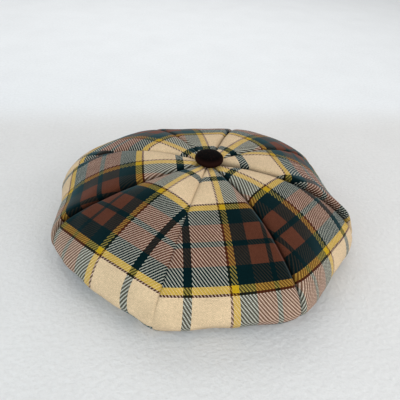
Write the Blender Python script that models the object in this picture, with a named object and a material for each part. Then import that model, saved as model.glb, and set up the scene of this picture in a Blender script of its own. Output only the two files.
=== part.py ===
"""Eight-gored tam o'shanter: a soft hollow crown, its inner headband and the button on top.

Metres, +Z up. The hat rests on its own rolled-under rim at z = 0, with the origin in the middle of
its footprint. The front gore faces -Y, and the gores are counted to the right, seen from the front.
"""

import math

import bpy
import numpy as np
from mathutils import Matrix, Vector

# Driving sizes ---------------------------------------------------------------------------------
GORE_COUNT = 8
CLOTH = 0.0018              # wall of the crown: twill with its backing
SEAM_GAP = 0.0003           # between two gores, and between any two pieces that touch
TIP_RADIUS = 0.0030         # where the gores' points end, under the button
BAND_RADIUS = 0.0900        # outside of the headband, for a head of 57 cm
BAND_WALL = 0.0020
BAND_HEIGHT = 0.0300        # tucked up inside the crown
BUTTON_RADIUS = 0.0127
BUTTON_EDGE = 0.0028        # height of the button's widest line above its underside
BUTTON_HEIGHT = 0.0076
BUTTON_SHOULDER = 0.8       # 1 makes its dome half an ellipse, and less makes it flatter on top
BUTTON_TILT = 4.0           # degrees that it leans to the front on the soft crown
STEM_RADIUS = 0.0020        # the button's shank
STEM_LENGTH = 0.0045
DIP_AT_CENTRE = 0.2         # share of a seam's dip at the centre of the top
FOLD_EDGE = 0.12            # half width of a fold's rounded edge, of half a gore
DIP_SHARE = 0.35            # a seam's dip never runs further than this share of half a gore

# One row for each ring of the crown, from the centre of the top to the hem at the headband.
# out, height: middle of a gore. round: 0 has eight flat sides, 1 is a circle.
CROWN_RINGS = np.array(
    [
        (0.000, 0.071, 0.0),
        (0.020, 0.0725, 0.0),
        (0.040, 0.072, 0.0),
        (0.060, 0.069, 0.0),
        (0.080, 0.063, 0.0),
        (0.100, 0.053, 0.0),
        (0.117, 0.040, 0.0),
        (0.127, 0.028, 0.0),
        (0.130, 0.016, 0.0),
        (0.124, 0.005, 0.0),
        (0.114, 0.000, 0.2),
        (0.101, 0.000, 0.7),
        (0.0904, 0.000, 1.0),
    ],
    dtype=[("out", "f8"), ("height", "f8"), ("round", "f8")],
)
WIDEST_RING = 8             # the rim

# One row for each seam, starting at the left edge of the front gore.
# turn: degrees to the right of its even place, at the rim. hook: degrees that it swings back to the
# right in its last stretch before the rim. bow: metres to the right, half-way there.
# reach, lift: further out and up than the ring. dip: depth of the valley.
# run_left, run_right: how far the dip runs into the gore on that side.
SEAMS = np.array(
    [
        (-0.5, 0.0, 0.002, 0.002, 0.000, 0.002, 0.005, 0.005),
        (1.0, 0.0, 0.001, 0.002, 0.000, 0.003, 0.005, 0.005),
        (3.0, 0.0, 0.003, -0.001, 0.000, 0.004, 0.014, 0.004),
        (2.0, 0.0, 0.003, -0.002, 0.002, 0.002, 0.005, 0.005),
        (-1.0, 0.0, -0.001, 0.000, 0.002, 0.002, 0.005, 0.005),
        (3.5, 0.0, 0.000, 0.001, 0.003, 0.002, 0.005, 0.005),
        (4.0, 0.0, -0.004, 0.004, 0.006, 0.002, 0.005, 0.005),
        (-14.0, 8.0, 0.003, 0.002, 0.000, 0.004, 0.004, 0.014),
    ],
    dtype=[
        ("turn", "f8"),
        ("hook", "f8"),
        ("bow", "f8"),
        ("reach", "f8"),
        ("lift", "f8"),
        ("dip", "f8"),
        ("run_left", "f8"),
        ("run_right", "f8"),
    ],
)

# One row for each gore, starting at the front one.
# puff: how far its middle stands out at the rim, beyond the dips at its seams (less than 0 is flat).
# lean: how much of the puff moves towards the left seam (less than 0 is to the right).
# swell: how far it balloons half-way up the crown.
# fold: share of the puff that comes to a fold down the middle instead of a round bulge.
GORES = np.array(
    [
        (0.003, 0.0, 0.000, 0.0),
        (0.000, 0.0, 0.004, 0.0),
        (-0.005, 0.0, 0.002, 0.0),
        (0.015, 0.3, 0.003, 0.0),
        (-0.001, 0.0, 0.000, 0.0),
        (0.012, -0.4, 0.002, 0.0),
        (-0.005, 0.0, 0.003, 0.0),
        (0.006, 0.3, 0.006, 0.9),
    ],
    dtype=[("puff", "f8"), ("lean", "f8"), ("swell", "f8"), ("fold", "f8")],
)

RING_STEPS = 24             # facets along a gore
ACROSS_STEPS = 10           # facets across a gore
BAND_FACETS = 64
BUTTON_FACETS = 32

# Materials: colour, roughness ------------------------------------------------------------------
TARTAN_WOOL = ("tartan_wool", (0.42, 0.34, 0.22), 0.85)
BAND_CLOTH = ("band_cloth", (0.05, 0.045, 0.04), 0.8)
BUTTON_LEATHER = ("button_leather", (0.03, 0.018, 0.015), 0.45)


def clear_scene():
    for thing in list(bpy.data.objects):
        bpy.data.objects.remove(thing, do_unlink=True)


def make_material(name, colour, roughness):
    material = bpy.data.materials.new(name)
    material.use_nodes = True
    shader = material.node_tree.nodes["Principled BSDF"]
    shader.inputs["Base Color"].default_value = (*colour, 1.0)
    shader.inputs["Roughness"].default_value = roughness
    shader.inputs["Metallic"].default_value = 0.0
    return material


def rings_along(count):
    """CROWN_RINGS read at count + 1 equal steps of the way along a gore, with that way.

    Each column is a cubic through its rows, with the slope at a row taken from its two neighbours,
    and the way is measured from row to row. The walk starts at the gores' tips. The shares follow
    from it: rise grows evenly from the centre to the rim and fall fades smoothly to nothing from
    the ring that lies down to the hem. A seam's own course grows with the square of rise, its hook
    with the eighth power and its bow is a parabola over rise. A gore's swell is the square of that
    parabola, its puff grows with the fourth power of rise and a dip evenly.
    """
    steps = np.hypot(np.diff(CROWN_RINGS["out"]), np.diff(CROWN_RINGS["height"]))
    way = np.concatenate([[0.0], np.cumsum(steps)])
    at = np.linspace(TIP_RADIUS, way[-1], count + 1)
    row = np.clip(np.searchsorted(way, at, side="right") - 1, 0, len(way) - 2)
    length = way[row + 1] - way[row]
    part = (at - way[row]) / length
    rings = {"way": at}
    for name in CROWN_RINGS.dtype.names:
        column = CROWN_RINGS[name]
        slope = np.gradient(column, way)
        rings[name] = (
            (2 * part**3 - 3 * part**2 + 1) * column[row]
            + (part**3 - 2 * part**2 + part) * length * slope[row]
            + (3 * part**2 - 2 * part**3) * column[row + 1]
            + (part**3 - part**2) * length * slope[row + 1]
        )
    rings["height"] = np.maximum(rings["height"], 0.0)
    rings["round"] = np.clip(rings["round"], 0.0, 1.0)
    rise = np.clip(at / way[WIDEST_RING], 0.0, 1.0)
    fall = np.clip((way[-1] - at) / (way[-1] - way[WIDEST_RING + 1]), 0.0, 1.0)
    fall = fall**2 * (3 - 2 * fall)
    rings["sway"] = rise**2 * fall
    rings["bow"] = 4 * rise * (1 - rise)
    rings["swell"] = rings["bow"] ** 2
    rings["puff"] = rise**4 * fall
    rings["hook"] = rise**8 * fall
    rings["dip"] = (DIP_AT_CENTRE + (1 - DIP_AT_CENTRE) * rise) * fall
    return rings


def seam_line(seam, rings):
    """Azimuth from the front, radius and height of a seam at each ring."""
    course = SEAMS[seam % GORE_COUNT]
    half = math.pi / GORE_COUNT
    corner = (1 - rings["round"]) / math.cos(half) + rings["round"]
    radius = rings["out"] * corner + course["reach"] * rings["sway"]
    turn = math.radians(course["turn"]) * rings["sway"] + math.radians(course["hook"]) * rings["hook"]
    azimuth = (2 * seam - 1) * half + turn + course["bow"] * rings["bow"] / radius
    height = np.maximum(rings["height"] + course["lift"] * rings["sway"], 0.0)
    return azimuth, radius, height


def around(azimuth, radius, height):
    """Points at an azimuth from -Y towards +X, a radius and a height."""
    return np.stack([radius * np.sin(azimuth), -radius * np.cos(azimuth), height], axis=-1)


def gore_outside(gore, rings, across):
    """The outside of one gore, on a grid of rings by places across (-1 left seam, 1 right seam).

    A point lies on the straight line between the two seams at its ring, or on the arc between them
    as the ring gets round. From there it is raised square to the gore's slope, or level below the
    rim. The puff raises it by a parabola or a fold across that may lean to one side, and the swell
    by a level parabola. The depth of the dips at the two seams is added too, each of which fades
    out with the distance from its seam.
    """
    left, right = seam_line(gore, rings), seam_line(gore + 1, rings)
    start, end = around(*left)[:, None], around(*right)[:, None]
    share = ((1 + across) / 2)[None, :]
    chord = start + (end - start) * share[..., None]
    arc = around(*(a[:, None] + (b - a)[:, None] * share for a, b in zip(left, right)))
    roundness = rings["round"][:, None, None]
    points = chord * (1 - roundness) + arc * roundness

    width = np.linalg.norm(end - start, axis=-1)
    nearest = np.maximum(width * DIP_SHARE / 2, 1e-6)
    course_left, course_right = SEAMS[gore % GORE_COUNT], SEAMS[(gore + 1) % GORE_COUNT]
    dip_left = np.exp(-width * share / np.minimum(course_left["run_right"], nearest))
    dip_right = np.exp(-width * (1 - share) / np.minimum(course_right["run_left"], nearest))
    raised = course_left["dip"] * (1 - share - dip_left) + course_right["dip"] * (share - dip_right)
    raised = raised * rings["dip"][:, None]
    ridge = 1 - np.hypot(across, FOLD_EDGE)
    fold = GORES[gore]["fold"]
    puff = GORES[gore]["puff"] * ((1 - fold) * (1 - across**2) + fold * ridge)
    puff = puff * (1 - GORES[gore]["lean"] * across)
    raised = raised + rings["puff"][:, None] * puff[None, :]
    raised = raised + rings["swell"][:, None] * GORES[gore]["swell"] * (1 - across**2)

    slope = np.arctan2(-np.gradient(rings["height"]), np.gradient(rings["out"]))
    middle = 2 * math.pi * gore / GORE_COUNT
    square = around(np.full_like(slope, middle), np.sin(slope), np.maximum(np.cos(slope), 0.0))
    points = points + raised[..., None] * square[:, None]
    points[..., 2] = np.maximum(points[..., 2], 0.0)
    return points


def grid_normals(points):
    """Outward unit normals of a gore's grid, from the steps along it and across it."""
    along, across = np.gradient(points, axis=0), np.gradient(points, axis=1)
    normal = np.cross(along, across)
    return normal / np.linalg.norm(normal, axis=-1, keepdims=True)


def kept_between_seams(points, gore, rings):
    """The points moved sideways where they would pass the middle of the gap at a seam."""
    radius = np.hypot(points[..., 0], points[..., 1])
    middle = 2 * math.pi * gore / GORE_COUNT
    turned = np.arctan2(points[..., 0], -points[..., 1]) - middle
    azimuth = middle + (turned + math.pi) % (2 * math.pi) - math.pi
    spare = SEAM_GAP / 2 / radius
    lowest = seam_line(gore, rings)[0][:, None] + spare
    highest = seam_line(gore + 1, rings)[0][:, None] - spare
    return around(np.clip(azimuth, lowest, highest), radius, points[..., 2])


def shell_mesh(name, outside, inside):
    """A closed wall between two grids of the same size, with its faces pointing out."""
    rows, columns = outside.shape[:2]
    outer = np.arange(rows * columns).reshape(rows, columns)
    inner = outer + rows * columns

    def skin(grid):
        return np.stack([grid[:-1, :-1], grid[1:, :-1], grid[1:, 1:], grid[:-1, 1:]], -1).reshape(-1, 4)

    def edge(a, b):
        return np.stack([a[:-1], a[1:], b[1:], b[:-1]], axis=-1)

    faces = np.concatenate(
        [
            skin(outer),
            skin(inner)[:, ::-1],
            edge(inner[:, 0], outer[:, 0]),
            edge(outer[:, -1], inner[:, -1]),
            edge(outer[0], inner[0]),
            edge(inner[-1], outer[-1]),
        ]
    )
    mesh = bpy.data.meshes.new(name)
    mesh.from_pydata(np.concatenate([outside.reshape(-1, 3), inside.reshape(-1, 3)]), [], faces)
    mesh.validate()
    return mesh


def turned_mesh(name, profile, facets, centre):
    """A closed outline of (radius, height) rows turned about the upright axis through centre.

    A row at radius 0 becomes one point. The outline runs with the piece on its left, seen with the
    radius to the right and the height up.
    """
    points, rings = [], []
    for radius, height in profile:
        if radius == 0.0:
            rings.append([len(points)] * facets)
            points.append((centre[0], centre[1], height))
            continue
        rings.append(list(range(len(points), len(points) + facets)))
        angles = np.linspace(0, 2 * math.pi, facets, endpoint=False)
        circle = around(angles, np.full(facets, radius), np.full(facets, height))
        points.extend(circle + np.array([centre[0], centre[1], 0.0]))
    faces = []
    for lower, upper in zip(rings, rings[1:] + rings[:1]):
        for i in range(facets):
            j = (i + 1) % facets
            corners = dict.fromkeys((lower[i], lower[j], upper[j], upper[i]))
            if len(corners) > 2:
                faces.append(tuple(corners))
    mesh = bpy.data.meshes.new(name)
    mesh.from_pydata(points, [], faces)
    mesh.validate()
    return mesh


def tilted_mesh(mesh, pivot, degrees):
    """The same mesh, turned about a level line through pivot so that its front goes down."""
    to_pivot = Matrix.Translation(-Vector(pivot))
    mesh.transform(to_pivot.inverted() @ Matrix.Rotation(math.radians(degrees), 4, "X") @ to_pivot)
    return mesh


def add_piece(mesh, material):
    mesh.materials.append(material)
    mesh.shade_smooth()
    mesh.set_sharp_from_angle(angle=math.radians(40))
    piece = bpy.data.objects.new(mesh.name, mesh)
    bpy.context.scene.collection.objects.link(piece)
    return piece


def make_gores(outsides, rings, centre, material):
    """Eight walls of cloth, each thickened inwards from its outside."""
    for gore, outside in enumerate(outsides):
        inside = outside - CLOTH * grid_normals(outside)
        inside[..., 2] = np.maximum(inside[..., 2], outside[..., 2].min())
        inside[-1] = outside[-1] + np.array([0.0, 0.0, CLOTH])
        outside = kept_between_seams(outside, gore, rings) - centre
        inside = kept_between_seams(inside, gore, rings) - centre
        add_piece(shell_mesh(f"crown_gore_{gore + 1}", outside, inside), material)


def make_headband(centre, material):
    """A plain upright ring of cloth inside the hem."""
    inside = BAND_RADIUS - BAND_WALL
    bottom = SEAM_GAP
    profile = [
        (BAND_RADIUS, bottom),
        (BAND_RADIUS, BAND_HEIGHT),
        (inside, BAND_HEIGHT),
        (inside, bottom),
    ]
    add_piece(turned_mesh("headband", profile, BAND_FACETS, -centre), material)


def make_button(seat, centre, material):
    """A covered button with a domed top, seated on the crown, and its shank between the tips.

    The dome's outline is (radius * cos(a)^shoulder, height * sin(a)^shoulder).
    """
    edge, dome = BUTTON_EDGE, BUTTON_HEIGHT - BUTTON_EDGE
    under = [(0.0, seat - STEM_LENGTH), (STEM_RADIUS, seat - STEM_LENGTH), (STEM_RADIUS, seat)]
    side = np.linspace(-math.pi / 2, 0, 5)
    rim = [(BUTTON_RADIUS - edge * (1 - math.cos(a)), seat + edge * (1 + math.sin(a))) for a in side]
    top = np.linspace(0, math.pi / 2, 8)[1:]
    shoulder = np.stack([BUTTON_RADIUS * np.cos(top), dome * np.sin(top)]) ** BUTTON_SHOULDER
    shoulder *= np.array([[BUTTON_RADIUS], [dome]]) ** (1 - BUTTON_SHOULDER)
    cap = [(radius, seat + edge + rise) for radius, rise in shoulder.T[:-1]]
    profile = under + rim + cap + [(0.0, seat + BUTTON_HEIGHT)]
    mesh = turned_mesh("top_button", profile, BUTTON_FACETS, -centre)
    add_piece(tilted_mesh(mesh, (-centre[0], -centre[1], seat), BUTTON_TILT), material)


def main():
    clear_scene()
    rings = rings_along(RING_STEPS)
    across = np.sin(np.linspace(-1, 1, ACROSS_STEPS + 1) * math.pi / 2)
    outsides = [gore_outside(gore, rings, across) for gore in range(GORE_COUNT)]

    crown = np.concatenate([outside.reshape(-1, 3) for outside in outsides])
    centre = (crown.max(axis=0) + crown.min(axis=0)) / 2
    centre[2] = 0.0
    under_button = crown[np.hypot(crown[:, 0], crown[:, 1]) < 1.3 * BUTTON_RADIUS]
    tilt = math.tan(math.radians(BUTTON_TILT))
    seat = (under_button[:, 2] - under_button[:, 1] * tilt).max() + SEAM_GAP

    make_gores(outsides, rings, centre, make_material(*TARTAN_WOOL))
    make_headband(centre, make_material(*BAND_CLOTH))
    make_button(seat, centre, make_material(*BUTTON_LEATHER))


main()
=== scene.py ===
"""Looks of an eight-gored tam o'shanter: tartan crown, headband, covered button and a pale stage.

Metres, +Z up. The hat rests on its rolled-under rim at z = 0. Its front gore faces -Y, and the gores
are counted to the right, seen from the front. Azimuths run from -Y towards +X.
"""

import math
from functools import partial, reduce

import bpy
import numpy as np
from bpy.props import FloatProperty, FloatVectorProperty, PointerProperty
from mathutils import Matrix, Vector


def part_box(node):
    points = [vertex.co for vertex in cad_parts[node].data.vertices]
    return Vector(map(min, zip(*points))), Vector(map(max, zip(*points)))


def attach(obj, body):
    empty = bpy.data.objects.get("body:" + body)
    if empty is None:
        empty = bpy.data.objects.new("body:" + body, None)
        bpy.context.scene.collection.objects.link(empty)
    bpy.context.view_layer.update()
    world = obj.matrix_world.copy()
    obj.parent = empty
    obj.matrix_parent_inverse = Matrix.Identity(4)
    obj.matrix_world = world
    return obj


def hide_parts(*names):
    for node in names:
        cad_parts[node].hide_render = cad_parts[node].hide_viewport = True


bl_info = {
    "name": "Gored Tartan Tam",
    "version": (1, 0, 0),
    "blender": (4, 5, 0),
    "location": "3D View > Sidebar > Tam",
    "description": "Builds an eight-gored tartan tam with a covered button round its packed solids",
    "category": "Add Mesh",
}

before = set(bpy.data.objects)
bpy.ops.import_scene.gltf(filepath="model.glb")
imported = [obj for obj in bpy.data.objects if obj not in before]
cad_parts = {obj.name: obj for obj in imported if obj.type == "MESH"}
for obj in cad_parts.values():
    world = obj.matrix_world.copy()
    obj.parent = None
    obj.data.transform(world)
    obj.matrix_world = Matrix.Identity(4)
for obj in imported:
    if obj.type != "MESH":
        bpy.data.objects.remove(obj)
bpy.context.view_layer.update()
BUTTON_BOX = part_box("top_button")
BUTTON_RADIUS = (BUTTON_BOX[1].x - BUTTON_BOX[0].x) / 2
BAND_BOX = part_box("headband")
BAND_MIDDLE = (BAND_BOX[0] + BAND_BOX[1]) / 2
HAT_FOOT = np.array([BAND_MIDDLE.x, BAND_MIDDLE.y, 0.0])    # of the axis through band and crown
BODY = "root"


def table(columns, *rows):
    """Rows of numbers with named columns."""
    return np.array(list(rows), dtype=[(name, "f8") for name in columns.split()])


# The crown's own sizes, as its solids have them ------------

GORE_COUNT = 8
CLOTH = 0.0018              # wall of the crown
TIP_RADIUS = 0.0030         # where the gores' points end, under the button
DIP_AT_CENTRE = 0.2         # share of a seam's dip at the centre of the top
FOLD_EDGE = 0.12            # half width of a fold's rounded edge, as a share of half a gore
DIP_SHARE = 0.35            # a seam's dip never runs further than this share of half a gore

# One row for each ring of the crown, from the centre of the top to the hem at the headband.
# out, height: middle of a gore. round: 0 has eight flat sides, 1 is a circle.
CROWN_RINGS = table(
    "out height round",
    (0.000, 0.071, 0.0),
    (0.020, 0.0725, 0.0),
    (0.040, 0.072, 0.0),
    (0.060, 0.069, 0.0),
    (0.080, 0.063, 0.0),
    (0.100, 0.053, 0.0),
    (0.117, 0.040, 0.0),
    (0.127, 0.028, 0.0),
    (0.130, 0.016, 0.0),
    (0.124, 0.005, 0.0),
    (0.114, 0.000, 0.2),
    (0.101, 0.000, 0.7),
    (0.0904, 0.000, 1.0),
)
WIDEST_RING = 8             # the rim

# One row for each seam, starting at the left edge of the front gore.
# turn: degrees that it bends to the right of its even place, on its way to the rim. hook: further
# degrees to the right, in the last stretch of that way. bow: metres to the right, half-way there.
# reach, lift: further out and up than the ring. dip: depth of the valley.
# run_left, run_right: how far the dip runs into the gore on that side.
SEAMS = table(
    "turn hook bow reach lift dip run_left run_right",
    (-0.5, 0.0, 0.002, 0.002, 0.000, 0.002, 0.005, 0.005),
    (1.0, 0.0, 0.001, 0.002, 0.000, 0.003, 0.005, 0.005),
    (3.0, 0.0, 0.003, -0.001, 0.000, 0.004, 0.014, 0.004),
    (2.0, 0.0, 0.003, -0.002, 0.002, 0.002, 0.005, 0.005),
    (-1.0, 0.0, -0.001, 0.000, 0.002, 0.002, 0.005, 0.005),
    (3.5, 0.0, 0.000, 0.001, 0.003, 0.002, 0.005, 0.005),
    (4.0, 0.0, -0.004, 0.004, 0.006, 0.002, 0.005, 0.005),
    (-14.0, 8.0, 0.003, 0.002, 0.000, 0.004, 0.004, 0.014),
)

# One row for each gore, starting at the front one.
# puff: how far its middle stands out at the rim, beyond the dips at its seams (less than 0 is flatter).
# lean: how much of the puff moves towards the left seam (less than 0 is to the right).
# swell: how far it balloons half-way up the crown.
# fold: share of the puff that comes to a fold down the middle instead of a round bulge.
GORES = table(
    "puff lean swell fold",
    (0.003, 0.0, 0.000, 0.0),
    (0.000, 0.0, 0.004, 0.0),
    (-0.005, 0.0, 0.002, 0.0),
    (0.015, 0.3, 0.003, 0.0),
    (-0.001, 0.0, 0.000, 0.0),
    (0.012, -0.4, 0.002, 0.0),
    (-0.005, 0.0, 0.003, 0.0),
    (0.006, 0.3, 0.006, 0.9),
)

# How the tartan lies on each gore, starting at the front one. across, along: metres from the
# pattern's common place. turn: degrees clockwise, seen from outside with the rim below. The others
# grow towards the rim. drift: metres that the lengthwise stripes slide to the right. slide: metres
# that the crosswise stripes slide down. slant, sag: how far those lean down to the right, in metres
# for each metre, and hang lower in the middle of the gore. flare: how much wider the pattern gets.
# until: share of the way to the rim at which these five reach their full size.
CUTS = table(
    "across along turn drift slide slant sag flare until",
    (-0.002, 0.0005, -0.5, 0.0035, -0.0010, -0.01, 0.004, 0.22, 1.00),
    (-0.005, -0.0015, 4.0, 0.0082, 0.0027, 0.00, 0.002, 0.00, 0.88),
    (0.010, 0.001, -1.5, 0.0000, 0.0000, 0.00, 0.000, 0.00, 1.00),
    (0.000, -0.001, 0.0, 0.0000, 0.0000, 0.00, 0.000, 0.00, 1.00),
    (0.000, -0.003, -3.0, 0.0000, 0.0000, 0.00, 0.000, 0.00, 1.00),
    (0.0045, -0.005, 0.0, 0.0000, 0.0000, 0.00, 0.000, 0.00, 1.00),
    (0.000, -0.001, 0.0, 0.0000, 0.0000, 0.00, 0.000, 0.00, 1.00),
    (0.0028, 0.0012, 0.0, -0.0040, 0.0000, -0.07, 0.000, 0.38, 1.00),
)
CUT_ACROSS = 0.032          # place in the half sett at a gore's middle, where the yellow line begins
CUT_ALONG = 0.028           # from the crown's centre to the middle of the first dark bar
CUT_STRETCH = 1.01          # the cloth is eased longer along the gore by this much
CUT_TURN_AT = 0.080         # the pattern turns about this place along the gore
CUT_FLARE_AT = 0.6          # a flare has this share of its size where the pattern has its own width

# Soft relief that only the cloth has, over the solids' shape ------------

# One row for each seam, in the order of SEAMS: how deep the stitching pulls it in, over what
# distance, how high the cloth stands up beside it, and how far the painted shade of its crease reaches.
PULLS = table(
    "depth width ridge crease",
    (0.0007, 0.0013, 0.0003, 0.0006),
    (0.0022, 0.0024, 0.0004, 0.0011),
    (0.0090, 0.0030, 0.0000, 0.0042),
    (0.0010, 0.0015, 0.0004, 0.0007),
    (0.0018, 0.0022, 0.0006, 0.0010),
    (0.0012, 0.0018, 0.0004, 0.0008),
    (0.0014, 0.0018, 0.0004, 0.0008),
    (0.0020, 0.0020, 0.0000, 0.0022),
)
RIDGE_AT = 2.5              # a ridge stands this many pull widths from its seam
PULL_AT_BUTTON = 0.4        # share of the pulls at the button, where the gores are narrow
PULL_GROWS = 0.030          # metres from the button over which they reach their full size
RIM_BEGINS = 0.85           # share of the way to the rim where the pulls begin to weaken
PULL_BELOW_RIM = 0.25       # what is left of them below the rim
DARK_PULL = 0.0022          # a pull of this depth has fully dark painted shade in its crease
NORMAL_REACH = 0.004        # the cloth beside a seam turns to the seam's own normal over this distance
NORMAL_SHARE = 0.3          # or over this share of the gore's width, where it is narrow

# Rolls of cloth that lean over a seam. gore: counted from 0, the front one. side: -1 along its left
# seam, 1 along its right one. begins, ends: shares of the way to the rim. over: how far it leans.
# lift: how far it stands up. width: how far its crest lies from the seam.
ROLLS = table(
    "gore side begins ends over lift width",
    (2, -1, 0.10, 0.94, 0.0085, 0.0035, 0.0055),
    (6, 1, 0.36, 0.94, 0.0008, 0.0010, 0.0050),
)
ROLL_FADE = 0.16            # share of the way over which a roll rises and dies out
ROLL_SHADE = 0.65           # the cloth that it leans over is painted in its shadow for this share of its lean

# Soft swells and dents. gore: counted from 0. along: metres from the centre. across: -1 to 1, from
# seam to seam. length, width: how far it reaches along and across. height: less than 0 is a dent.
DENTS = table(
    "gore along across length width height",
    (0, 0.150, 0.55, 0.010, 0.020, -0.0015),
    (0, 0.120, -0.30, 0.025, 0.030, 0.0010),
    (1, 0.110, 0.20, 0.020, 0.030, 0.0010),
    (7, 0.125, 0.20, 0.020, 0.030, 0.0010),
    (4, 0.060, 1.00, 0.030, 0.020, -0.0035),
    (5, 0.060, -1.00, 0.030, 0.020, -0.0035),
)

# Slow waves all over the crown. x, y, z: waves in a metre each way. start: radians at the origin.
WAVES = table(
    "x y z start height",
    (14.0, 9.0, 5.0, 0.3, 0.0005),
    (-8.0, 19.0, 12.0, 1.9, 0.0004),
    (31.0, -17.0, 22.0, 4.1, 0.0003),
    (23.0, 37.0, -30.0, 2.6, 0.0002),
)

# Puckers round the button, where eight points of cloth are drawn together.
PUCKER_HEIGHT = 0.0005
PUCKER_COUNT = 3            # in each gore
PUCKER_REACH = 0.011        # they fade out over this distance beyond the button

FLOOR_FADE = 0.004          # relief fades out over this height above the floor
ROWS = 200                  # steps along a gore
COLUMNS = 84                # and across it

# The headband, the button and the stage ------------

BAND_SQUARE = 12.0          # 2 makes the band's section an ellipse, more makes it squarer
BAND_STEPS = 48             # round that section
BAND_FACETS = 256
BUTTON_FACETS = 128
RIM_STEPS = 24              # round the button's edge
DOME_STEPS = 60             # over its dome

FLOOR_REACH = 4.0           # from the middle of the floor to its edges
SENSOR_WIDTH = 36.0         # of the camera, in mm

# Soft rectangular lamps: where each hangs, what it faces, and its width and height.
LAMPS = {
    "window": ((-0.66, -0.68, 0.52), (0.0, 0.0, 0.0), (1.0, 0.8)),
    "fill": ((0.74, -0.62, 0.46), (0.0, 0.0, 0.0), (0.8, 0.8)),
    "backlight": ((0.0, 0.85, 0.90), (0.0, 0.45, 0.0), (1.4, 0.5)),
}


# Shapes ------------


def rings_along(count):
    """CROWN_RINGS read at count + 1 equal steps of the way along a gore, with that way.

    Each column is a cubic through its rows, with the slope at a row taken from its two neighbours,
    and the way is measured from row to row. The walk starts at the gores' tips. The shares follow
    from it: rise grows evenly from the centre to the rim, and fall fades smoothly to nothing from
    the first ring below the rim to the hem. A seam's own course grows with the square of rise, its
    hook with the eighth power, and its bow is a parabola over rise. A gore's swell is the square of
    that parabola, its puff grows with the fourth power of rise, and a dip evenly.
    """
    steps = np.hypot(np.diff(CROWN_RINGS["out"]), np.diff(CROWN_RINGS["height"]))
    way = np.concatenate([[0.0], np.cumsum(steps)])
    at = np.linspace(TIP_RADIUS, way[-1], count + 1)
    row = np.clip(np.searchsorted(way, at, side="right") - 1, 0, len(way) - 2)
    length = way[row + 1] - way[row]
    part = (at - way[row]) / length
    rings = {"way": at}
    for name in CROWN_RINGS.dtype.names:
        column = CROWN_RINGS[name]
        slope = np.gradient(column, way)
        rings[name] = (
            (2 * part**3 - 3 * part**2 + 1) * column[row]
            + (part**3 - 2 * part**2 + part) * length * slope[row]
            + (3 * part**2 - 2 * part**3) * column[row + 1]
            + (part**3 - part**2) * length * slope[row + 1]
        )
    rings["height"] = np.maximum(rings["height"], 0.0)
    rings["round"] = np.clip(rings["round"], 0.0, 1.0)
    rise = np.clip(at / way[WIDEST_RING], 0.0, 1.0)
    fall = np.clip((way[-1] - at) / (way[-1] - way[WIDEST_RING + 1]), 0.0, 1.0)
    fall = fall**2 * (3 - 2 * fall)
    rings["rise"] = at / way[WIDEST_RING]
    rings["sway"] = rise**2 * fall
    rings["bow"] = 4 * rise * (1 - rise)
    rings["swell"] = rings["bow"] ** 2
    rings["puff"] = rise**4 * fall
    rings["hook"] = rise**8 * fall
    rings["dip"] = (DIP_AT_CENTRE + (1 - DIP_AT_CENTRE) * rise) * fall
    return rings


def seam_line(seam, rings):
    """Azimuth from the front, radius and height of a seam at each ring.

    On a ring with flat sides the seam lies further out than a gore's middle, at 1 / cos(pi / 8) of
    its radius, and on a round one just as far. Its turn, hook, bow, reach and lift come on top.
    """
    course = SEAMS[seam % GORE_COUNT]
    half = math.pi / GORE_COUNT
    corner = (1 - rings["round"]) / math.cos(half) + rings["round"]
    radius = rings["out"] * corner + course["reach"] * rings["sway"]
    turn = math.radians(course["turn"]) * rings["sway"] + math.radians(course["hook"]) * rings["hook"]
    azimuth = (2 * seam - 1) * half + turn + course["bow"] * rings["bow"] / radius
    height = np.maximum(rings["height"] + course["lift"] * rings["sway"], 0.0)
    return azimuth, radius, height


def around(azimuth, radius, height):
    """Points at an azimuth from -Y towards +X, a radius and a height."""
    return np.stack([radius * np.sin(azimuth), -radius * np.cos(azimuth), height], axis=-1)


def gore_outside(gore, rings, across):
    """The outside of one gore, on a grid of rings by places across (-1 left seam, 1 right seam).

    A point lies on the straight line between the two seams at its ring, or on the arc between them
    as the ring gets round. From there it is raised square to the gore's slope, or level below the
    rim. The puff raises it by a parabola or a fold across that may lean to one side, and the swell
    by a parabola. The depth of the dips at the two seams is added in proportion to the nearness of
    each, less the dip itself, which is exp(-d / run) at a distance d from its seam.
    """
    left, right = seam_line(gore, rings), seam_line(gore + 1, rings)
    start, end = around(*left)[:, None], around(*right)[:, None]
    share = ((1 + across) / 2)[None, :]
    chord = start + (end - start) * share[..., None]
    arc = around(*(one[:, None] + (two - one)[:, None] * share for one, two in zip(left, right)))
    roundness = rings["round"][:, None, None]
    points = chord * (1 - roundness) + arc * roundness

    width = np.linalg.norm(end - start, axis=-1)
    own = GORES[gore]
    bulge, ridge = 1 - across**2, 1 - np.hypot(across, FOLD_EDGE)
    puff = own["puff"] * ((1 - own["fold"]) * bulge + own["fold"] * ridge) * (1 - own["lean"] * across)
    raised = rings["puff"][:, None] * puff + rings["swell"][:, None] * own["swell"] * bulge
    for course, run, away in (
        (SEAMS[gore], "run_right", share),
        (SEAMS[(gore + 1) % GORE_COUNT], "run_left", 1 - share),
    ):
        dip = np.exp(-width * away / np.minimum(course[run], width * DIP_SHARE / 2))
        raised = raised + course["dip"] * (1 - away - dip) * rings["dip"][:, None]

    slope = np.arctan2(-np.gradient(rings["height"]), np.gradient(rings["out"]))
    middle = 2 * math.pi * gore / GORE_COUNT
    square = around(np.full_like(slope, middle), np.sin(slope), np.maximum(np.cos(slope), 0.0))
    points = points + raised[..., None] * square[:, None]
    points[..., 2] = np.maximum(points[..., 2], 0.0)
    return points


def unit(vectors):
    """The vectors at length 1."""
    return vectors / np.linalg.norm(vectors, axis=-1, keepdims=True)


def grid_normals(points):
    """Outward unit normals of a gore's grid, from the steps along it and across it."""
    return unit(np.cross(np.gradient(points, axis=0), np.gradient(points, axis=1)))


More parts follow.
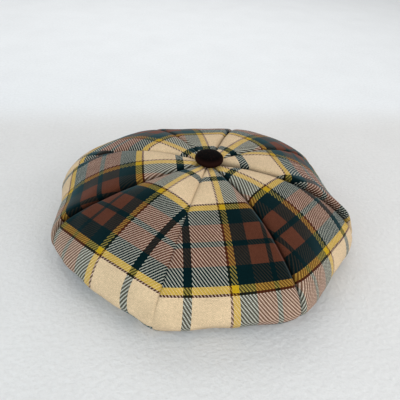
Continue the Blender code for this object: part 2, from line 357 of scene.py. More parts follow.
def gore_width(points):
    """Straight width of a gore's grid from seam to seam, as a column of rings."""
    return np.linalg.norm(points[:, -1] - points[:, 0], axis=-1)[:, None]


def from_seam(side, points, across):
    """Distance of each grid point from the gore's left seam (side -1) or its right one (side 1)."""
    return gore_width(points) * (1 - side * across) / 2


def both_pulls(gore):
    """Side and row of PULLS of the two seams of a gore."""
    return (-1, PULLS[gore]), (1, PULLS[(gore + 1) % GORE_COUNT])


def seam_normals(gore, grids, across):
    """Normals of a gore's grid, turned near each seam to the mean of both its gores' normals there.

    The weight of a seam's own normal is exp(-(d / reach)^2) at a distance d from it, with reach
    NORMAL_REACH or NORMAL_SHARE of the gore's width where it is narrow. So the two gores' cloth meets.
    """
    points, own = grids[gore], grid_normals(grids[gore])
    reach = np.minimum(gore_width(points) * NORMAL_SHARE, NORMAL_REACH)
    turned = own
    for side, edge in ((-1, 0), (1, -1)):
        neighbour = grid_normals(grids[(gore + side) % GORE_COUNT])[:, -1 - edge]
        at_seam = unit(own[:, edge] + neighbour)[:, None]
        weight = np.exp(-((from_seam(side, points, across) / reach) ** 2))[..., None]
        turned = turned + (at_seam - own) * weight
    return unit(turned)


def slow_relief(gore, points, rings, across):
    """Height of the dents and slow waves over a gore's grid.

    A dent is height * exp(-(along / length)^2 - (across / width)^2) from its middle. A wave is
    height * sin(2 pi (x, y, z) . place + start) on the place in space, so it runs on over the seams.
    Both grow with the square of the way to the rim.
    """
    height = np.zeros(points.shape[:2])
    for dent in DENTS[DENTS["gore"] == gore]:
        onward = (rings["way"][:, None] - dent["along"]) / dent["length"]
        sideways = (across - dent["across"]) * gore_width(points) / 2 / dent["width"]
        height += dent["height"] * np.exp(-(onward**2) - sideways**2)
    for wave in WAVES:
        place = points @ np.array([wave["x"], wave["y"], wave["z"]])
        height += wave["height"] * np.sin(2 * math.pi * place + wave["start"])
    return height * np.minimum(rings["rise"], 1.0)[:, None] ** 2


def seam_relief(gore, points, rings, across):
    """Height of the pulled-in seams and of the puckers round the button over a gore's grid.

    At a distance d from a seam the pull is -depth * exp(-(d / width)^2), and the ridge beside it is
    ridge * x * exp(1 - x) with x = d / (RIDGE_AT * width). A pucker is a cosine across the gore that
    fades with the distance from the button's edge.
    """
    height = np.zeros(points.shape[:2])
    for side, pull in both_pulls(gore):
        distance = from_seam(side, points, across)
        x = distance / (RIDGE_AT * pull["width"])
        height -= pull["depth"] * np.exp(-((distance / pull["width"]) ** 2))
        height += pull["ridge"] * x * np.exp(1 - x)
    beyond = np.maximum(rings["way"] - BUTTON_RADIUS, 0.0)[:, None]
    height *= past_rim(rings)
    height *= PULL_AT_BUTTON + (1 - PULL_AT_BUTTON) * np.minimum(beyond / PULL_GROWS, 1.0)
    pucker = np.cos(math.pi * (PUCKER_COUNT * (1 + across) + 1))
    return height + PUCKER_HEIGHT * pucker * np.exp(-beyond / PUCKER_REACH)


def past_rim(rings):
    """What is left of the pulls at each ring: all of it down to near the rim, and little below."""
    share = np.clip((rings["rise"] - RIM_BEGINS) / (1 - RIM_BEGINS), 0.0, 1.0)
    return 1 - (1 - PULL_BELOW_RIM) * share[:, None]


def roll_share(roll, rings):
    """How far a roll has risen at each ring, smoothly from 0 to 1 and back."""
    starts = np.clip((rings["rise"] - roll["begins"]) / ROLL_FADE, 0.0, 1.0)
    stops = np.clip((roll["ends"] - rings["rise"]) / ROLL_FADE, 0.0, 1.0)
    share = (starts * stops)[:, None]
    return share * share * (3 - 2 * share)


def roll_shift(gore, points, rings, across, normal):
    """How far the rolls of a gore move each point of its grid, sideways and outwards.

    At a distance d from its seam a roll is x * exp(1 - x) with x = d / width.
    """
    to_the_right = (points[:, -1] - points[:, 0]) / gore_width(points)
    shift = np.zeros(points.shape)
    for roll in ROLLS[ROLLS["gore"] == gore]:
        x = from_seam(roll["side"], points, across) / roll["width"]
        shape = (roll_share(roll, rings) * x * np.exp(1 - x))[..., None]
        shift += roll["over"] * roll["side"] * shape * to_the_right[:, None]
        shift += roll["lift"] * shape * normal
    return shift


def crease_shade(gore, points, rings, across):
    """How deep each point of a gore's grid lies in the painted shade of a dark crease, from 0 to 1.

    At a distance d from a seam it is exp(-(d / reach)^2), with reach how far the painted shade of
    its pull's crease reaches, times the depth of its pull as a share of DARK_PULL. Where the next
    gore's roll leans over this one, its painted shadow is exp(-(d / (ROLL_SHADE * over))^6).
    """
    depth = np.zeros(points.shape[:2])
    for side, pull in both_pulls(gore):
        distance = from_seam(side, points, across)
        # painted shade in the crease of this seam
        dark = min(pull["depth"] / DARK_PULL, 1.0) * past_rim(rings)
        depth = np.maximum(depth, dark * np.exp(-((distance / pull["crease"]) ** 2)))
        # painted shadow of the next gore's roll, where it leans over this one
        for roll in ROLLS[(ROLLS["gore"] == (gore + side) % GORE_COUNT) & (ROLLS["side"] == -side)]:
            shade = np.exp(-((distance / roll["over"] / ROLL_SHADE) ** 6))
            depth = np.maximum(depth, roll_share(roll, rings) * shade)
    return depth


def gore_walls(gore, grids, rings, across):
    """Outer and inner skin of one gore's cloth, with its soft relief.

    Relief moves a point along its normal, and fades out just above the floor. The outside has all
    of it. The inside lies CLOTH further in and follows the slow relief, and the seams' relief only
    where that leads towards less x, y or z, so the wall is thinner in the pulls at some seams. At
    the hem it ends straight above the outside.
    """
    plain = grids[gore]
    normal = seam_normals(gore, grids, across)
    upright = np.clip(plain[..., 2] / FLOOR_FADE, 0.0, 1.0)[..., None]
    slow = plain + slow_relief(gore, plain, rings, across)[..., None] * normal * upright
    pulled = seam_relief(gore, plain, rings, across)[..., None] * normal * upright
    outside = slow + pulled + roll_shift(gore, plain, rings, across, normal)
    inside = slow + np.minimum(pulled, 0.0) - CLOTH * normal
    outside[..., 2] = np.maximum(outside[..., 2], 0.0)
    inside[..., 2] = np.maximum(inside[..., 2], 0.0)
    inside[-1] = outside[-1] + np.array([0.0, 0.0, CLOTH])
    return outside, inside


def cloth_places(gore, points, rings):
    """Place of each grid point on the cloth it was cut from, in metres across and along.

    Across is the length of the curve from the gore's middle along its ring, and along is the way
    from the crown's centre. Alternate gores are cut from mirrored cloth, so that the tartan meets
    itself at the seams; each is then shifted and turned as its row of CUTS says. The drift, slide,
    slant, sag and flare grow with the cube of the way along.
    """
    steps = np.linalg.norm(np.diff(points, axis=1), axis=-1)
    run = np.concatenate([np.zeros((len(points), 1)), np.cumsum(steps, axis=1)], axis=1)
    across = run - run[:, -1:] / 2
    along = np.broadcast_to(rings["way"][:, None], across.shape)
    cut = CUTS[gore]
    turn = math.radians(cut["turn"])
    late = np.minimum(rings["rise"] / cut["until"], 1.0)[:, None] ** 3
    middle = 1 - (2 * across / run[:, -1:]) ** 2
    lower = (cut["slide"] + cut["slant"] * across + cut["sag"] * middle) * late
    sideways = across - cut["across"] - turn * CUT_TURN_AT - cut["drift"] * late
    onward = along - cut["along"] - lower
    flare = 1 + cut["flare"] * (late - CUT_FLARE_AT)
    on_cloth_across = (sideways + turn * onward) / (1 + turn**2) / flare
    on_cloth_along = (onward - turn * sideways) / (1 + turn**2)
    mirrored = 1 if gore % 2 == 0 else -1
    return np.stack(
        [CUT_ACROSS + mirrored * on_cloth_across, (on_cloth_along - CUT_ALONG) / CUT_STRETCH], axis=-1
    )


def band_profile(radius, wall, low, high):
    """Section of the headband's ring, as rows of (radius, height).

    It is a rectangle with rounded corners, worked out from its middle: at an angle t the reach is
    (|cos t|^n + |sin t|^n)^(-1 / n) with n = BAND_SQUARE, times half the wall outwards and half the
    height upwards.
    """
    angle = np.linspace(0, 2 * math.pi, BAND_STEPS, endpoint=False)
    out, up = np.cos(angle), np.sin(angle)
    reach = (np.abs(out) ** BAND_SQUARE + np.abs(up) ** BAND_SQUARE) ** (-1 / BAND_SQUARE)
    half = (high - low) / 2
    return np.stack([radius - wall / 2 + wall / 2 * reach * out, low + half + half * reach * up], -1)


def button_profile(button):
    """Half section of the button from the shank's end to near its top, as rows of (radius, height).

    The shank is upright and the underside level. A quarter of a circle leads up to the edge's
    height, and from there the dome is radius * cos(t)^shoulder out and dome * sin(t)^shoulder up.
    """
    turn = np.linspace(-math.pi / 2, 0, RIM_STEPS)
    climb = np.linspace(0, math.pi / 2, DOME_STEPS)[1:-1]
    dome = button.height - button.edge
    shank = np.array([(button.stem_radius, -button.stem_length), (button.stem_radius, 0.0)])
    rim = np.stack([BUTTON_RADIUS - button.edge * (1 - np.cos(turn)), button.edge * (1 + np.sin(turn))], -1)
    out, up = BUTTON_RADIUS * np.cos(climb) ** button.shoulder, dome * np.sin(climb) ** button.shoulder
    return np.concatenate([shank, rim, np.stack([out, button.edge + up], axis=-1)])


def turned_points(profile, facets):
    """Rows of (radius, height) turned about the upright axis, as a grid of rows by facets."""
    angles = np.linspace(0, 2 * math.pi, facets, endpoint=False)[None, :]
    radius, height = profile[:, 0][:, None], profile[:, 1][:, None]
    return around(angles, radius, np.broadcast_to(height, (len(profile), facets)))


def turned_faces(rows, facets, closed):
    """Faces between the rows of turned points, and from the last row back to the first if closed."""
    grid = np.arange(rows * facets).reshape(rows, facets)
    upper = np.roll(grid, -1, axis=0) if closed else grid[1:]
    lower = grid if closed else grid[:-1]
    beside, above = np.roll(lower, -1, axis=1), np.roll(upper, -1, axis=1)
    return np.stack([lower, beside, above, upper], axis=-1).reshape(-1, 4)


def pole_faces(rows, facets):
    """Triangles that close the first and last row on two poles, whose points come after the grid."""
    first, last = np.arange(facets), np.arange(facets) + (rows - 1) * facets
    bottom, top = np.full(facets, rows * facets), np.full(facets, rows * facets + 1)
    under = np.stack([bottom, np.roll(first, -1), first], axis=-1)
    over = np.stack([last, np.roll(last, -1), top], axis=-1)
    return np.concatenate([under, over])


def shell_faces(rows, columns):
    """Faces of a closed wall between two grids of the same size, the outer one first."""
    outer = np.arange(rows * columns).reshape(rows, columns)
    inner = outer + rows * columns

    def skin(grid):
        corners = [grid[:-1, :-1], grid[1:, :-1], grid[1:, 1:], grid[:-1, 1:]]
        return np.stack(corners, axis=-1).reshape(-1, 4)

    def edge(first, second):
        return np.stack([first[:-1], first[1:], second[1:], second[:-1]], axis=-1)

    return np.concatenate(
        [
            skin(outer),
            skin(inner)[:, ::-1],
            edge(inner[:, 0], outer[:, 0]),
            edge(outer[:, -1], inner[:, -1]),
            edge(outer[0], inner[0]),
            edge(inner[-1], outer[-1]),
        ]
    )


def make_mesh(name, points, faces, places=None, painted_crease_shades=None):
    """A smooth-shaded mesh, with a UV map named cloth if each point has a place on the cloth.

    How deep each point lies in the painted shade of the creases goes into a float attribute on its points.
    """
    mesh = bpy.data.meshes.new(name)
    mesh.from_pydata(points.reshape(-1, 3), [], faces)
    if places is not None:
        corners = np.empty(len(mesh.loops), dtype=np.int32)
        mesh.loops.foreach_get("vertex_index", corners)
        layer = mesh.uv_layers.new(name="cloth")
        layer.data.foreach_set("uv", places.reshape(-1, 2)[corners].astype(np.float32).ravel())
    if painted_crease_shades is not None:
        # painted shade of the creases, as a point attribute
        depth = mesh.attributes.new("crease", "FLOAT", "POINT")
        depth.data.foreach_set("value", painted_crease_shades.astype(np.float32).ravel())
    mesh.shade_smooth()
    return mesh


def add_piece(mesh, material, node):
    """Shows the mesh in place of a CAD node, on the hat's body."""
    mesh.materials.append(material)
    piece = bpy.data.objects.new(mesh.name, mesh)
    bpy.context.scene.collection.objects.link(piece)
    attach(piece, BODY)
    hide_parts(node)
    return piece


# Materials ------------

WHITE = (1.0, 1.0, 1.0)
BLACK = (0.0, 0.0, 0.0)

# The tartan over half a repeat, mirrored at both ends: how many threads in which colour of TamCloth.
THREADS = (
    (5, "green"),
    (43, "cream"),
    (3, "line"),
    (8, "yellow"),
    (20, "green"),
    (23, "brown"),
    (3, "green"),
)
TWILL_ROUND = 4             # yarns in one round of the twill, half of them on top
HUE_GAIN = 1.2              # brings the strongest channel of a normalised colour to about 1
PAINTED_SHEEN_GREY = (0.5, 0.5, 0.55)    # what the painted sheen of the fuzz has besides its yarn's own hue
PAINTED_LIT_EDGE = (0.0016, 0.0034)    # a painted highlight on the leather's edge begins and is full this far below its top


def add_node(tree, kind, inputs, **settings):
    """A node with its settings, each input given as a plain value or as another node's output."""
    node = tree.nodes.new(kind)
    for name, value in settings.items():
        setattr(node, name, value)
    for place, value in inputs.items():
        if isinstance(value, bpy.types.NodeSocket):
            tree.links.new(value, node.inputs[place])
        else:
            node.inputs[place].default_value = value
    return node


def calc(tree, operation, *values):
    """Output of a Math node."""
    return add_node(tree, "ShaderNodeMath", dict(enumerate(values)), operation=operation).outputs[0]


def product(tree, *values):
    """Output of Math nodes that multiply all the values."""
    return reduce(lambda first, second: calc(tree, "MULTIPLY", first, second), values)


def calc3(tree, operation, *values):
    """Output of a Vector Math node; the scale of SCALE comes last."""
    places = {0: values[0], "Scale": values[1]} if operation == "SCALE" else dict(enumerate(values))
    node = add_node(tree, "ShaderNodeVectorMath", places, operation=operation)
    return node.outputs["Value" if operation == "LENGTH" else "Vector"]


def mix(tree, share, first, second):
    """Colour between two others, at a share from 0 to 1."""
    return add_node(tree, "ShaderNodeMix", {0: share, 6: first, 7: second}, data_type="RGBA").outputs[2]


def between(tree, share, low, high):
    """Value that runs evenly from low to high as the share runs from 0 to 1."""
    return calc(tree, "MULTIPLY_ADD", share, high - low, low)


def fade(tree, value, start, end, full=1.0, smooth=True):
    """Value that grows from 0 to full while another one goes from start to end."""
    places = {"Value": value, "From Min": start, "From Max": end, "To Max": full}
    kind = "SMOOTHSTEP" if smooth else "LINEAR"
    return add_node(tree, "ShaderNodeMapRange", places, interpolation_type=kind).outputs[0]


def noise(tree, place, scale, detail, output="Fac"):
    """Output of a Noise Texture with this many cells for each metre."""
    places = {"Vector": place, "Scale": scale, "Detail": detail}
    return add_node(tree, "ShaderNodeTexNoise", places).outputs[output]


def parts(tree, vector):
    """The x, y and z of a vector."""
    return add_node(tree, "ShaderNodeSeparateXYZ", {0: vector}).outputs[:]


def object_place(tree):
    """Place on the object, in metres."""
    return add_node(tree, "ShaderNodeTexCoord", {}).outputs["Object"]


def opaque(colour):
    """A colour with its alpha."""
    return (*colour, 1.0)


def new_material(name):
    """A material with its node tree and its shader."""
    material = bpy.data.materials.new(name)
    material.use_nodes = True
    return material, material.node_tree, material.node_tree.nodes["Principled BSDF"]


def dress(tree, shader, colour, roughness, gloss, relief, depth, strength=1.0):
    """Gives a shader its colour, roughness and gloss, and bumps from a relief of this depth."""
    bump = add_node(tree, "ShaderNodeBump", {"Height": relief, "Distance": depth, "Strength": strength})
    tree.links.new(colour, shader.inputs["Base Color"])
    tree.links.new(bump.outputs[0], shader.inputs["Normal"])
    shader.inputs["Roughness"].default_value = roughness
    shader.inputs["Specular IOR Level"].default_value = gloss


def stripes(tree, share, threads):
    """Colour at a share of the half sett, from stripes of (thread count, colour)."""
    node = add_node(tree, "ShaderNodeValToRGB", {0: share})
    ramp = node.color_ramp
    ramp.interpolation = "CONSTANT"
    total = sum(count for count, _ in threads)
    begun = 0
    for number, (count, colour) in enumerate(threads):
        stop = ramp.elements[0] if number == 0 else ramp.elements.new(begun / total)
        stop.position = begun / total
        stop.color = opaque(colour)
        begun += count
    ramp.elements.remove(ramp.elements[-1])
    return node.outputs["Color"]


def yarn_relief(tree, over, onward):
    """Height of a yarn, at a place counted in yarns across it and along it.

    It is 4 x (1 - x) on the share x of the way across the yarn, times cos(pi / 3 * s) along its
    float, where s runs from -2 to 2.
    """
    inside = calc(tree, "FRACT", over)
    run = calc(tree, "WRAP", onward, TWILL_ROUND / 2, -TWILL_ROUND / 2)
    wave = calc(tree, "COSINE", calc(tree, "MULTIPLY", run, math.pi / 3))
    return product(tree, calc(tree, "SUBTRACT", 1.0, inside), inside, 4.0, wave)


def twill(tree, cloth, place):
    """Two-and-two twill at a place on the cloth, in metres.

    Gives the share of the half sett that the middles of the two yarns fall in, across and along,
    whether the yarn along the gore is on top, and the upper one's height. A yarn along is on top
    where its number less the crossing yarn's number, counted in fours, is under 2.
    """
    haze = noise(tree, place, scale=2600.0, detail=2.0, output="Color")
    hair = calc3(tree, "SUBTRACT", haze, (0.5, 0.5, 0.5))
    hairy = calc3(tree, "ADD", place, calc3(tree, "SCALE", hair, cloth.hairiness))
    pitch = (cloth.pitch_across, cloth.pitch_along, 1.0)
    count = calc3(tree, "DIVIDE", hairy, pitch)
    number = calc3(tree, "FLOOR", count)
    middle = calc3(tree, "MULTIPLY", calc3(tree, "ADD", number, (0.5, 0.5, 0.0)), pitch)
    half_setts = calc3(tree, "SCALE", middle, 1 / cloth.half_sett)
    share = calc3(tree, "ABSOLUTE", calc3(tree, "WRAP", half_setts, WHITE, (-1.0, -1.0, -1.0)))

    x, y, _ = parts(tree, count)
    up, cross, _ = parts(tree, number)
    steps = calc(tree, "FLOORED_MODULO", calc(tree, "SUBTRACT", up, cross), TWILL_ROUND)
    up_on_top = calc(tree, "LESS_THAN", steps, TWILL_ROUND / 2 - 0.5)
    up_relief = yarn_relief(tree, x, calc(tree, "SUBTRACT", up, y))
    past = calc(tree, "SUBTRACT", calc(tree, "SUBTRACT", x, cross), TWILL_ROUND - 1)
    reliefs = {"Factor": up_on_top, "A": yarn_relief(tree, y, past), "B": up_relief}
    height = add_node(tree, "ShaderNodeMix", reliefs, data_type="FLOAT").outputs["Result"]
    return share, up_on_top, height


def woven_colour(tree, cloth, up_on_top, height, up_colour, cross_colour):
    """Colour of the weave from the colours of its two yarns.

    On its crown the upper yarn takes on the hue of an unlike one beneath it (glow), and more of it
    where a dark yarn lies over a darker one (depth). A bright yarn looks paler over a dark one
    (paleness), and two that are about as light blend (blend). Towards its edges the upper yarn
    falls to the darker of the two, partly the darker yarn showing there and partly a painted shadow
    of it (yarn_shadow), and the crosswise yarns spread over the others (weft).
    """
    yarn = mix(tree, up_on_top, cross_colour, up_colour)
    beneath = mix(tree, up_on_top, up_colour, cross_colour)
    own, under = calc3(tree, "LENGTH", yarn), calc3(tree, "LENGTH", beneath)
    alike = calc(tree, "DIVIDE", calc(tree, "MINIMUM", own, under), calc(tree, "MAXIMUM", own, under))
    unlike = calc(tree, "SUBTRACT", 1.0, alike)

    hue = calc3(tree, "SCALE", calc3(tree, "NORMALIZE", beneath), HUE_GAIN)
    missing = calc3(tree, "MAXIMUM", calc3(tree, "SUBTRACT", WHITE, hue), BLACK)
    dim = fade(tree, own, start=1 / 3, end=0.0, smooth=False)
    sunk = calc(tree, "MULTIPLY", dim, calc(tree, "LESS_THAN", under, own))
    strong = calc(tree, "MULTIPLY_ADD", sunk, cloth.depth, cloth.glow)
    loss = calc3(tree, "SCALE", missing, calc(tree, "MULTIPLY", unlike, strong))
    kept = calc3(tree, "SUBTRACT", WHITE, loss)

    bright = calc(tree, "MINIMUM", calc(tree, "POWER", own, 4.0), 1.0)
    pale = mix(tree, product(tree, unlike, bright, cloth.paleness), yarn, opaque(WHITE))
    blended = product(tree, alike, alike, cloth.blend)
    crown = mix(tree, blended, calc3(tree, "MULTIPLY", pale, kept), beneath)

    whole = between(tree, up_on_top, low=1.0 - cloth.weft, high=1.0)
    # partly the darker yarn showing at the edges and partly its painted shadow
    edge = product(tree, fade(tree, height, start=0.95, end=0.55, full=cloth.yarn_shadow), whole)
    spread = product(tree, fade(tree, height, start=0.75, end=0.5, full=cloth.weft), up_on_top)
    edged = mix(tree, edge, crown, calc3(tree, "MINIMUM", yarn, beneath))
    return mix(tree, spread, edged, cross_colour)


def cloth_light(tree, cloth, place, height, fibres, crease):
    """How light the cloth's colour is: painted shade between yarns and in creases, and uneven as wool is."""
    # painted shade between the yarns, from their relief
    painted_gap_shade = between(tree, height, low=1.0 - cloth.yarn_shade, high=1.0)
    flecks = between(tree, fibres, low=0.45, high=1.55)
    patches = between(tree, noise(tree, place, scale=38.0, detail=3.0), low=0.75, high=1.25)
    slubs = between(tree, noise(tree, place, scale=420.0, detail=1.0), low=0.85, high=1.15)
    # painted shade: the creases of the seams are darkened
    painted_crease_shades = between(tree, crease, low=1.0, high=1.0 - cloth.crease)
    return product(tree, painted_gap_shade, flecks, patches, slubs, painted_crease_shades)


def painted_sheen_veil(tree, cloth, yarn, lit, crease):
    """The lit cloth under a painted sheen in its yarns' hue, which veils it where it turns aside, less in
    the creases.
    """
    aside = add_node(tree, "ShaderNodeLayerWeight", {"Blend": 0.5}).outputs["Facing"]
    uncreased = calc(tree, "SUBTRACT", 1.0, crease)
    # painted sheen: stronger where the cloth turns aside, weaker in the creases
    painted_sheen_share = product(tree, calc(tree, "POWER", aside, 3.0), calc(tree, "POWER", uncreased, 4.0), cloth.sheen)
    painted_sheen_tone = calc3(tree, "ADD", calc3(tree, "NORMALIZE", yarn), PAINTED_SHEEN_GREY)
    return mix(tree, painted_sheen_share, lit, calc3(tree, "SCALE", painted_sheen_tone, cloth.painted_sheen_tone / 2))


def tartan_material(cloth):
    """Woollen twill of coloured yarns on the UV map named cloth, in metres.

    Each yarn takes the colour of the stripe that its middle falls in, once for the yarns along the
    gore and once for those across. Then come the weave's painted shade between the yarns, the fibres'
    flecks and worn patches, the painted shade of the seams' creases from a mesh attribute, and the
    painted sheen of the fuzz.
    """
    material, tree, shader = new_material("tartan_wool")
    place = add_node(tree, "ShaderNodeUVMap", {}, uv_map="cloth").outputs[0]
    # painted shade of the seams' creases, read from the mesh
    crease = add_node(tree, "ShaderNodeAttribute", {}, attribute_name="crease").outputs["Fac"]
    share, up_on_top, height = twill(tree, cloth, place)
    threads = [(count, getattr(cloth, name)) for count, name in THREADS]
    up_share, cross_share, _ = parts(tree, share)
    up_colour, cross_colour = stripes(tree, up_share, threads), stripes(tree, cross_share, threads)
    yarn = woven_colour(tree, cloth, up_on_top, height, up_colour, cross_colour)
    fibres = noise(tree, place, scale=1500.0, detail=3.0)
    lit = calc3(tree, "SCALE", yarn, cloth_light(tree, cloth, place, height, fibres, crease))
    # painted sheen of the fuzz, mixed into the colour
    colour = painted_sheen_veil(tree, cloth, yarn, lit, crease)
    relief = calc(tree, "MULTIPLY_ADD", fibres, 0.5, height)
    dress(tree, shader, colour, roughness=0.9, gloss=0.02, relief=relief, depth=0.00012, strength=0.8)
    return material


def band_material(band):
    """Plain dark cotton twill: fine slanting ribs with a little unevenness, and painted shade and light
    along them.
    """
    material, tree, shader = new_material("band_cloth")
    places = {"Vector": object_place(tree), "Scale": 300.0, "Distortion": 0.4}
    ribs = add_node(tree, "ShaderNodeTexWave", places, bands_direction="DIAGONAL").outputs["Fac"]
    # painted shade and light: the colour darkens and lightens along the ribs
    colour = calc3(tree, "SCALE", band.colour, between(tree, ribs, low=0.8, high=1.2))
    dress(tree, shader, colour, roughness=0.85, gloss=0.5, relief=ribs, depth=0.0001)
    return material


def leather_material(button):
    """Dark brown leather: fine grain in cells, with redder, lighter worn spots and a painted highlight round
    its edge.
    """
    material, tree, shader = new_material("button_leather")
    place = object_place(tree)
    grain = add_node(tree, "ShaderNodeTexVoronoi", {"Vector": place, "Scale": 1400.0}).outputs[0]
    mottle = noise(tree, place, scale=420.0, detail=4.0)
    spots = fade(tree, mottle, start=0.55, end=0.72, full=0.35, smooth=False)
    # painted highlight: lighter and redder over the lower part of the dome
    start, end = (BUTTON_BOX[1].z - below for below in PAINTED_LIT_EDGE)
    edge = fade(tree, parts(tree, place)[2], start, end, full=0.4, smooth=False)
    # the worn spots and the painted highlight share one colour
    wear_and_painted_light = calc(tree, "MAXIMUM", spots, edge)
    colour = mix(tree, wear_and_painted_light, opaque(button.colour), opaque(button.wear_and_painted_light_colour))
    dress(tree, shader, colour, roughness=0.6, gloss=0.015, relief=grain, depth=0.0002, strength=0.6)
    return material


def felt_material(stage):
    """Pale felt with fine flecks and faint clouds, lighter and bluer further behind the hat, where it stands
    in for the pale backdrop; the darker near felt reaching on behind the hat is partly painted shade.
    """
    material, tree, shader = new_material("floor_felt")
    place = object_place(tree)
    felt = noise(tree, place, scale=260.0, detail=6.0)
    clouds = noise(tree, place, scale=14.0, detail=2.0)
    # partly painted shade: the darker near felt reaches on behind the hat, where its shade falls
    far = fade(tree, parts(tree, place)[1], stage.far_begins, stage.far_begins + stage.far_width)
    plain = mix(tree, far, opaque(stage.floor_colour), opaque(stage.far_colour))
    flecks = between(tree, felt, low=0.92, high=1.08)
    tone = product(tree, flecks, between(tree, clouds, low=0.96, high=1.04))
    colour = calc3(tree, "SCALE", plain, tone)
    dress(tree, shader, colour, roughness=0.95, gloss=0.1, relief=felt, depth=0.0012, strength=0.6)
    return material


# Stage ------------


def make_floor(stage):
    """A flat, plain floor of pale felt."""
    points = FLOOR_REACH * np.array([(-1, -1, 0), (1, -1, 0), (1, 1, 0), (-1, 1, 0)])
    mesh = make_mesh("floor", points, [(0, 1, 2, 3)])
    mesh.materials.append(felt_material(stage))
    floor = bpy.data.objects.new("floor", mesh)
    bpy.context.scene.collection.objects.link(floor)


def make_sky(stage):
    """Even pale light from all round, weaker overhead."""
    world = bpy.data.worlds.new("studio")
    world.use_nodes = True
    tree = world.node_tree
    background = tree.nodes["Background"]
    background.inputs["Color"].default_value = opaque(stage.sky_colour)
    rise = parts(tree, add_node(tree, "ShaderNodeTexCoord", {}).outputs["Generated"])[2]
    tree.links.new(between(tree, rise, stage.horizon, stage.zenith), background.inputs["Strength"])
    bpy.context.scene.world = world


def add_lamp(name, power, colour):
    """One of LAMPS, unseen by the camera."""
    place, aim, size = LAMPS[name]
    light = bpy.data.lights.new(name, "AREA")
    light.shape = "RECTANGLE"
    light.size, light.size_y = size
    light.energy = power
    light.color = colour
    lamp = bpy.data.objects.new(name, light)
    bpy.context.scene.collection.objects.link(lamp)
    lamp.location = place
    lamp.rotation_euler = (Vector(aim) - Vector(place)).to_track_quat("-Z", "Y").to_euler()
    lamp.visible_camera = False


def make_camera(stage):
    """A camera at the photograph's angle, with its roll, that looks at its aim from a distance."""
    scene = bpy.context.scene
    scene.view_settings.view_transform = "Standard"
    data = bpy.data.cameras.new("camera")
    data.sensor_width = SENSOR_WIDTH
    data.lens = stage.lens
    camera = bpy.data.objects.new("camera", data)
    scene.collection.objects.link(camera)
    away = Vector(around(np.array(stage.azimuth), math.cos(stage.elevation), math.sin(stage.elevation)))
    level = Vector((math.cos(stage.azimuth), math.sin(stage.azimuth), 0.0))
    rising = away.cross(level)
    right = level * math.cos(stage.roll) + rising * math.sin(stage.roll)
    up = rising * math.cos(stage.roll) - level * math.sin(stage.roll)
    axes = Matrix((right, up, away)).transposed().to_4x4()
    axes.translation = Vector(HAT_FOOT) + stage.aim + away * stage.distance
    camera.matrix_world = axes
    scene.camera = camera


# Properties ------------


def colour_property(name, description, default):
    """A colour, as linear red, green and blue."""
    return FloatVectorProperty(
        name=name, description=description, default=default, subtype="COLOR", size=3, min=0.0, max=1.0
    )


def number_property(name, description, default, **settings):
    """A number, with its unit or its limits."""
    return FloatProperty(name=name, description=description, default=default, **settings)


length_property = partial(number_property, unit="LENGTH", precision=5)
share_property = partial(number_property, subtype="FACTOR", min=0.0, max=1.0)
angle_property = partial(number_property, subtype="ANGLE")
power_property = partial(number_property, unit="POWER")


class TamCloth(bpy.types.PropertyGroup):
    """Sizes and colours of the tartan."""

    half_sett: length_property("Half sett", "Width of half of the tartan's repeat", 0.066)
    pitch_across: length_property("Yarn spacing across", "From one yarn along the gore to the next", 0.00063)
    pitch_along: length_property("Yarn spacing along", "From one yarn across the gore to the next", 0.00082)
    hairiness: length_property("Hairiness", "How far the edge of a yarn wanders", 0.00015)
    # painted shade between the yarns
    yarn_shade: share_property("Yarn shade", "How much darker the gaps between yarns are", 0.35)
    # partly painted shadow: a yarn's edges darken towards the darker yarn
    yarn_shadow: share_property("Yarn shadow", "How far a yarn's edges take on the darker colour", 0.8)
    glow: share_property("Glow", "How far a yarn takes on the hue of an unlike one beneath it", 0.2)
    depth: share_property("Depth", "How much further a dark yarn does so over a darker one", 0.8)
    blend: share_property("Blend", "How far a yarn blends with one that is about as light", 0.5)
    paleness: share_property("Paleness", "How much paler a brushed yarn looks over a dark one", 0.45)
    weft: share_property("Weft", "How far the crosswise yarns spread over the others' edges", 0.22)
    # painted sheen: how far a lighter veil is mixed into the colour where the cloth turns aside
    sheen: share_property("Sheen", "How far the fuzz veils the cloth where it turns aside", 0.4)
    # painted shade: how much the creases of the seams are darkened
    crease: share_property("Crease", "How much darker the cloth is in the creases of the seams", 0.75)
    # tone of the painted sheen
    painted_sheen_tone: share_property("Fuzz", "How light the fuzz is, in a yarn's own hue", 0.6)
    cream: colour_property("Cream", "Ground colour of the tartan", (0.715, 0.54, 0.342))
    yellow: colour_property("Yellow", "The eight-thread line", (0.52, 0.33, 0.012))
    green: colour_property("Green", "Dark green bands and pivots", (0.0015, 0.011, 0.013))
    brown: colour_property("Brown", "Brown bands", (0.096, 0.032, 0.018))
    line: colour_property("Brown line", "The three-thread line beside the yellow", (0.05, 0.014, 0.006))


class TamBand(bpy.types.PropertyGroup):
    """The headband inside the hem."""

    colour: colour_property("Colour", "Colour of the headband's cloth", (0.02, 0.018, 0.016))
    wall: length_property("Wall", "Thickness of the headband", 0.0020)


class TamButton(bpy.types.PropertyGroup):
    """The covered button."""

    colour: colour_property("Colour", "Colour of the button's leather", (0.0012, 0.0007, 0.0007))
    # colour of the worn spots, and of the painted highlight round the button's edge
    wear_and_painted_light_colour: colour_property("Worn colour", "Colour where the leather is worn", (0.030, 0.010, 0.007))
    edge: length_property("Edge height", "Height of its widest line above its underside", 0.0028)
    height: length_property("Height", "From its underside to its top", 0.0076)
    shoulder: share_property("Shoulder", "1 makes its dome half an ellipse, less makes it flatter", 0.8)
    tilt: angle_property("Tilt", "How far it leans to the front", math.radians(4.0))
    stem_radius: length_property("Shank radius", "Radius of the shank between the gores", 0.0020)
    stem_length: length_property("Shank length", "Length of the shank between the gores", 0.0045)


